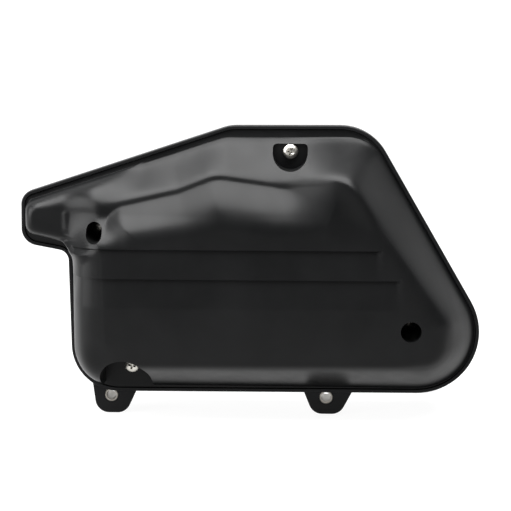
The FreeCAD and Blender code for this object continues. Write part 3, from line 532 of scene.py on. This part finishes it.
def coverSolid(name, hollow):
    # one closed skin: inner dome, lower face, flange edge, flange top, outer dome
    soft = coverLook["flangeRound"]
    inward = (footRing - edgeRing)
    inward /= np.linalg.norm(inward, axis=1)[:, None]
    top = coverLook["flangeTop"]
    skirt = [atDepth(edgeRing + inward * 0.3, 0.0),
             atDepth(edgeRing, -0.3),
             atDepth(edgeRing, -(top - soft)),
             atDepth(edgeRing + inward * 0.15, -(top - 0.15)),
             atDepth(edgeRing + inward * soft, -top),
             atDepth(edgeRing + (footRing - edgeRing) * 0.8, -top)]
    lead = [innerDome[::-1], atDepth(innerDome[0][:, [0, 2]], 0.0)[None]] if hollow else []
    rings = np.concatenate(lead + [np.stack(skirt), outerDome])
    count = rings.shape[1]
    points = rings.reshape(-1, 3)
    quads = [gridFaces(len(rings), count)]
    extra = []
    columns, rows = topCells, leftCells
    quads.append(rectangleFaces(len(points), (len(rings) - 1) * count, columns, rows)[:, ::-1])
    points = np.concatenate([points, middleOuter[1:-1, 1:-1].reshape(-1, 3)])
    if hollow:
        quads.append(rectangleFaces(len(points), 0, columns, rows))
        points = np.concatenate([points, middleInner[1:-1, 1:-1].reshape(-1, 3)])
    else:
        extra = [list(range(count))[::-1]]
    faces = np.concatenate(quads)
    turnedFaces = outward(points, faces)
    if turnedFaces is not faces:
        extra = [face[::-1] for face in extra]
    return newPiece(name, points, turnedFaces, extra, 34)


cover = coverSolid("coverShell", True)
print("cover skin", len(cover.data.polygons))


# wells, pocket and scoop of the cover, in millimetres
recessLook = {
    "wellRadius": 6.35,
    "frontHalfWidth": 5.2,
    "wellWall": 1.9,
    "pocketRadius": 10.9,
    "pocketTop": 163.4,
    "pocketCorner": 2.5,
    "pocketWall": 1.8,
    "scoopCentre": (12.2, 15.6),
    "scoopRadius": 15.6,
    "screwHole": 2.75,
    "bossRadius": 5.0,
    "bossFront": 4.9,
    "pocketFloor": 2.0,
    "wallBack": 0.5,           # the walls end this far in front of the joint
}
# X, Z and height above the joint of each screw's seat
screwSeats = {"top": (115.2, 158.4, 5.0), "front": (-5.0, 110.3, 6.0),
              "rear": (190.2, 51.5, 6.0), "lower": (14.1, 20.5, 2.5)}


def circle(x, z, radius, steps=96):
    angles = np.arange(steps) * 2 * math.pi / steps
    return np.stack([x + radius * np.cos(angles), z + radius * np.sin(angles)], 1)


def slotOutline(x, z, halfWidth, halfHeight, steps=48):
    # round ends above and below, straight sides between
    angles = np.arange(steps + 1) * math.pi / steps
    endZ = z + halfHeight - halfWidth
    high = np.stack([x + halfWidth * np.cos(angles), endZ + halfWidth * np.sin(angles)], 1)
    return np.concatenate([high, 2 * np.array([x, z]) - high])


def pocketOutline(grow):
    # half circle below, square corners with a small round above
    look = recessLook
    x, z = screwSeats["top"][:2]
    radius, top, corner = look["pocketRadius"] + grow, look["pocketTop"] + grow, look["pocketCorner"]
    angles = math.pi + np.arange(65) * math.pi / 64
    low = np.stack([x + radius * np.cos(angles), z + radius * np.sin(angles)], 1)
    turn = np.arange(9) * math.pi / 16
    right = np.stack([x + radius - corner + corner * np.cos(turn), top - corner + corner * np.sin(turn)], 1)
    left = np.stack([x - radius + corner - corner * np.sin(turn), top - corner + corner * np.cos(turn)], 1)
    return np.concatenate([low, right, left])


def scoopOutline(grow, low):
    # arch open towards the lower edge
    x, z = recessLook["scoopCentre"]
    radius = recessLook["scoopRadius"] + grow
    angles = np.arange(81) * math.pi / 80
    arch = np.stack([x + radius * np.cos(angles), z + radius * np.sin(angles)], 1)
    return np.concatenate([arch, [[x - radius, low], [x + radius, low]]])


farFront = -60                 # a plane in front of the whole cover
look = recessLook
wallBack = -look["wallBack"]
frontX, frontZ, frontSeat = screwSeats["front"]
rearX, rearZ, rearSeat = screwSeats["rear"]
walls = [
    prism("frontWall", slotOutline(frontX, frontZ, look["frontHalfWidth"] + look["wellWall"],
                                   look["wellRadius"] + look["wellWall"]), farFront, wallBack),
    prism("rearWall", circle(rearX, rearZ, look["wellRadius"] + look["wellWall"]), farFront, wallBack),
    prism("pocketWall", pocketOutline(look["pocketWall"]), farFront,
          -(screwSeats["top"][2] - look["pocketFloor"])),
    prism("topBoss", circle(*screwSeats["top"][:2], look["bossRadius"]), -look["bossFront"], wallBack),
    prism("scoopWall", scoopOutline(look["pocketWall"], 6.0), farFront, wallBack)]
for wall in walls:
    outerSolid = coverSolid("coverOuter", False)
    combine(wall, outerSolid, "INTERSECT")
    combine(cover, wall, "UNION")
cuts = [
    prism("frontWell", slotOutline(frontX, frontZ, look["frontHalfWidth"], look["wellRadius"]),
          farFront, -frontSeat),
    prism("rearWell", circle(rearX, rearZ, look["wellRadius"]), farFront, -rearSeat),
    prism("topPocket", pocketOutline(0), farFront, -screwSeats["top"][2]),
    prism("scoop", scoopOutline(0, -12), farFront, -screwSeats["lower"][2])]
cuts += [prism(place + "Hole", circle(x, z, look["screwHole"], 48), -(seat + 1), 3)
         for place, (x, z, seat) in screwSeats.items()]
for cutter in cuts:
    combine(cover, cutter, "DIFFERENCE")
cover.data.shade_smooth()
cover.data.set_sharp_from_angle(angle=math.radians(30))
finished(cover, "cover", "cover")
print("cover cut", len(cover.data.polygons))


# cover screws: pan head, cross recess, coarse thread, in millimetres
screwLook = {
    "headRadius": 4.75,
    "headHeight": 3.4,
    "shankRadius": 2.45,
    "length": 20.0,
    "threadDepth": 0.45,
    "threadPitch": 1.9,
    "domeHeight": 2.3,
    "pointLength": 2.2,
    "recessDepth": 2.4,
    "recessReach": 2.85,
    "recessHalfWidth": 0.72,
}


def crossCutter(x, z, front, depth):
    # a plus sign whose arms grow shorter and narrower with depth
    a, b = screwLook["recessReach"], screwLook["recessHalfWidth"]
    plus = np.array([[a, -b], [a, b], [b, b], [b, a], [-b, a], [-b, b], [-a, b], [-a, -b], [-b, -b],
                     [-b, -a], [b, -a], [b, -b]])
    centre = np.array([x, z])
    points = np.concatenate([np.insert(centre + plus * 1.08, 1, front - 1, 1),
                             np.insert(centre + plus * 0.45, 1, front + depth, 1)])
    quads = gridFaces(2, 12)[:, ::-1]
    return newPiece("cross", points, quads, [list(range(12)), list(range(12, 24))[::-1]])


def makeScrew(place, turn):
    # radius over length, the thread a ridge that climbs one pitch per turn
    look = screwLook
    x, z, seat = screwSeats[place]
    top, under, tip = -(seat + look["headHeight"]), -seat, -seat + look["length"]
    bend = np.linspace(0, 1, 13) * math.pi / 2
    dome = np.stack([0.2 + (look["headRadius"] - 0.2) * np.sin(bend) ** 0.8,
                     top + look["domeHeight"] * (1 - np.cos(bend))], 1)
    skirt = [(look["headRadius"], under - 0.25),
             (look["headRadius"] - 0.2, under),
             (look["shankRadius"], under)]
    core = look["shankRadius"] - look["threadDepth"]
    pointLength = look["pointLength"]
    shank = np.stack([np.full(120, core), np.linspace(under + 0.05, tip - pointLength, 120)], 1)
    taper = np.linspace(0.1, 1, 12)
    point = np.stack([core * np.sqrt(np.maximum(1 - taper ** 2 * 0.93, 0)),
                      tip - pointLength + pointLength * taper], 1)
    profile = np.concatenate([dome, skirt, shank, point])
    steps = 72
    angles = np.arange(steps) * 2 * math.pi / steps
    y = profile[:, 1][:, None] + 0 * angles
    phase = (y / look["threadPitch"] - angles / (2 * math.pi)) % 1
    ridge = np.clip(1 - np.abs(phase - 0.5) / 0.24, 0, 1)
    reach = smooth((profile[:, 1] - under - 1.5) / 1.5) * smooth((tip - 0.6 - profile[:, 1]) / 2.5)
    radius = profile[:, 0][:, None] + look["threadDepth"] * ridge * reach[:, None]
    points = np.stack([x + radius * np.cos(angles), y, z + radius * np.sin(angles)], -1).reshape(-1, 3)
    rows = len(profile)
    step = np.arange(steps)
    following = (step + 1) % steps
    fans = np.concatenate([np.stack([following, step, np.full(steps, rows * steps)], 1),
                           np.stack([step + (rows - 1) * steps, following + (rows - 1) * steps,
                                     np.full(steps, rows * steps + 1)], 1)])
    everything = np.concatenate([points, [[x, top, z], [x, tip, z]]])
    # the fans and the grid face the same way because they share their edges in opposite order
    quads = gridFaces(rows, steps)
    piece = newPiece(place + "Screw", everything, quads, fans.tolist(), 35)
    cross = crossCutter(0, 0, top, look["recessDepth"])
    cross.data.transform(Matrix.Rotation(turn, 4, "Y"))
    cross.data.transform(Matrix.Translation((x * mm, 0, z * mm)))
    combine(piece, cross, "DIFFERENCE")
    piece.data.set_sharp_from_angle(angle=math.radians(35))
    finished(piece, "cover_screw_" + place, place + "_screw")
    return piece


for place, turn in (("top", 0.35), ("front", 0.1), ("rear", 0.7), ("lower", 0.2)):
    makeScrew(place, turn)
print("screws ready")


# filter foam: a pad that bellies slightly between its edges
foamLook = {
    "belly": 0.8,         # how far the middle stands proud of the edges
    "fill": 0.9,
    "endPower": 0.12,     # squareness of the pad's ends, smaller is squarer
    "sidePower": 0.16,
}


def makeFoam():
    low, high = [np.array(corner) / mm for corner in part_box("filter_foam")]
    centre, half = (low + high) / 2, (high - low) / 2
    # superellipse sections: angle round the pad by height through it
    around = np.arange(240) * 2 * math.pi / 240

    def power(value, exponent):
        return np.sign(value) * np.abs(value) ** exponent

    plan = np.stack([power(np.cos(around), foamLook["endPower"]) * half[0],
                     power(np.sin(around), foamLook["sidePower"]) * half[2]], 1)
    flat = np.linspace(0.04, 0.9, 18)
    shares = np.concatenate([flat, 0.9 + 0.1 * np.sin(np.linspace(0.1, 1, 12) * math.pi / 2)])
    roundOver = np.clip((shares - 0.97) / 0.03, 0, 1)     # quarter circle over the last 3 % of the reach
    front = np.stack([shares, -np.sqrt(np.clip(1 - roundOver ** 2, 0, 1))], 1)
    profile = np.concatenate([front, [[1, -0.0]], front[::-1] * [1, -1]])
    reach = profile[:, 0][:, None, None] * plan[None]
    sag = foamLook["belly"] * (1 - np.clip(np.abs(reach[..., 0]) / half[0], 0, 1) ** 4) \
        * (1 - np.clip(np.abs(reach[..., 1]) / half[2], 0, 1) ** 4)
    depth = profile[:, 1][:, None] * (half[1] - foamLook["belly"] + sag)
    points = np.stack([centre[0] + reach[..., 0], centre[1] + depth, centre[2] + reach[..., 1]], -1)
    rows, steps = points.shape[:2]
    everything = np.concatenate([points.reshape(-1, 3),
                                 [centre + [0, -half[1], 0], centre + [0, half[1], 0]]])
    step = np.arange(steps)
    following = (step + 1) % steps
    fans = np.concatenate([np.stack([following, step, np.full(steps, rows * steps)], 1),
                           np.stack([step + (rows - 1) * steps, following + (rows - 1) * steps,
                                     np.full(steps, rows * steps + 1)], 1)])
    piece = newPiece("foamPad", everything, gridFaces(rows, steps), fans.tolist(), 50)
    finished(piece, "filter_foam", "element")
    return piece


makeFoam()
print("foam ready")


# floor, light and camera
studio = {
    "floorColour": (0.1, 0.1, 0.1),
    "floorPaintedGlow": (0.4, 0.92),  # painted light, the floor's glow: dimmer far in front of the object (painted shade), brighter under and behind it
    "paintedGlowEdge": (-0.6, -0.22),
    "worldColour": (0.1, 0.1, 0.102),
    "floorFront": (-4000, -800),
    "sweepStart": 1700,        # the floor turns up behind this, in millimetres
    "sweepRadius": 700,
    "sweepTop": 4500,
    "floorHalfWidth": 3500,
    "lampAim": (0.09, 0.0, 0.08),
}
lamps = {                      # place in metres, width and height, power
    "topLight": ((0.04, -0.325, 1.47), (1.95, 1.3), 139.0),
    "leftLight": ((-1.65, -0.64, 0.51), (1.92, 1.92), 102.0),
    "rightLight": ((1.87, 0.4, 0.43), (1.28, 1.6), 7.7),
}


def makeFloor():
    # flat in front, swept up in a wide curve behind the object
    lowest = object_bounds()[0][2] / mm
    turn = np.linspace(0, math.pi / 2, 25)
    start, radius = studio["sweepStart"], studio["sweepRadius"]
    y = np.concatenate([studio["floorFront"], start + radius * np.sin(turn), [start + radius]])
    z = np.concatenate([[0, 0], radius * (1 - np.cos(turn)), [studio["sweepTop"]]]) + lowest
    x = np.linspace(-studio["floorHalfWidth"], studio["floorHalfWidth"], 9)
    points = np.stack(np.broadcast_arrays(x[None], y[:, None], z[:, None]), -1)
    piece = newPiece("floor", points.reshape(-1, 3), gridFaces(len(y), 9, False), (), 60)
    made, tree, shader = newMaterial("floorPaper")
    cloud = noise(tree, 1.5, 3)
    low = tuple(0.99 * value for value in studio["floorColour"])
    link(tree, tint(tree, cloud, low, studio["floorColour"]), shader.inputs["Base Color"])
    shader.inputs["Roughness"].default_value = 0.9
    # painted light: the floor glows by its Y, brighter under and behind the object and dimmer far in front
    # of it, a painted shade that keeps the front dark
    shader.inputs["Emission Color"].default_value = (1, 1, 1, 1)
    split = tree.nodes.new("ShaderNodeSeparateXYZ")
    link(tree, tree.nodes.new("ShaderNodeTexCoord").outputs["Object"], split.inputs["Vector"])
    glow = spread(tree, split.outputs["Y"], *studio["floorPaintedGlow"], *studio["paintedGlowEdge"])
    link(tree, glow, shader.inputs["Emission Strength"])
    piece.data.materials.append(made)


def softLight(name, place, aim, size, power):
    data = bpy.data.lights.new(name, "AREA")
    data.shape = "RECTANGLE"
    data.size, data.size_y = size
    data.energy = power
    lamp = bpy.data.objects.new(name, data)
    bpy.context.scene.collection.objects.link(lamp)
    direction = np.array(aim) - np.array(place)
    lamp.rotation_euler = Vector(direction).to_track_quat("-Z", "Y").to_euler()
    lamp.location = place


makeFloor()
for lampName, (lampPlace, lampSize, lampPower) in lamps.items():
    softLight(lampName, lampPlace, studio["lampAim"], lampSize, lampPower)
world = bpy.data.worlds.new("studio")
world.use_nodes = True
world.node_tree.nodes["Background"].inputs["Color"].default_value = (*studio["worldColour"], 1)
bpy.context.scene.world = world
bpy.context.scene.view_settings.view_transform = "Standard"

cameraLook = {
    "turn": 2.7,           # degrees to the left of straight on
    "tilt": 9.0,           # degrees downwards
    "place": (0.14036, -1.00238, 0.25057),
    "lens": 112.7,
}
turnAngle = math.radians(cameraLook["turn"])
tiltAngle = math.radians(cameraLook["tilt"])
rightAxis = np.array([math.cos(turnAngle), math.sin(turnAngle), 0])
forward = np.array([-math.sin(turnAngle) * math.cos(tiltAngle), math.cos(turnAngle) * math.cos(tiltAngle),
                    -math.sin(tiltAngle)])
upAxis = np.cross(rightAxis, forward)
cameraData = bpy.data.cameras.new("camera")
cameraData.lens = cameraLook["lens"]
cameraData.sensor_width = 36
cameraData.dof.use_dof = False
camera = bpy.data.objects.new("camera", cameraData)
placed = np.eye(4)
placed[:3, :3] = np.stack([rightAxis, upAxis, -forward], 1)
placed[:3, 3] = cameraLook["place"]
camera.matrix_world = Matrix(placed.tolist())
bpy.context.scene.collection.objects.link(camera)
bpy.context.scene.camera = camera
print("stage ready")
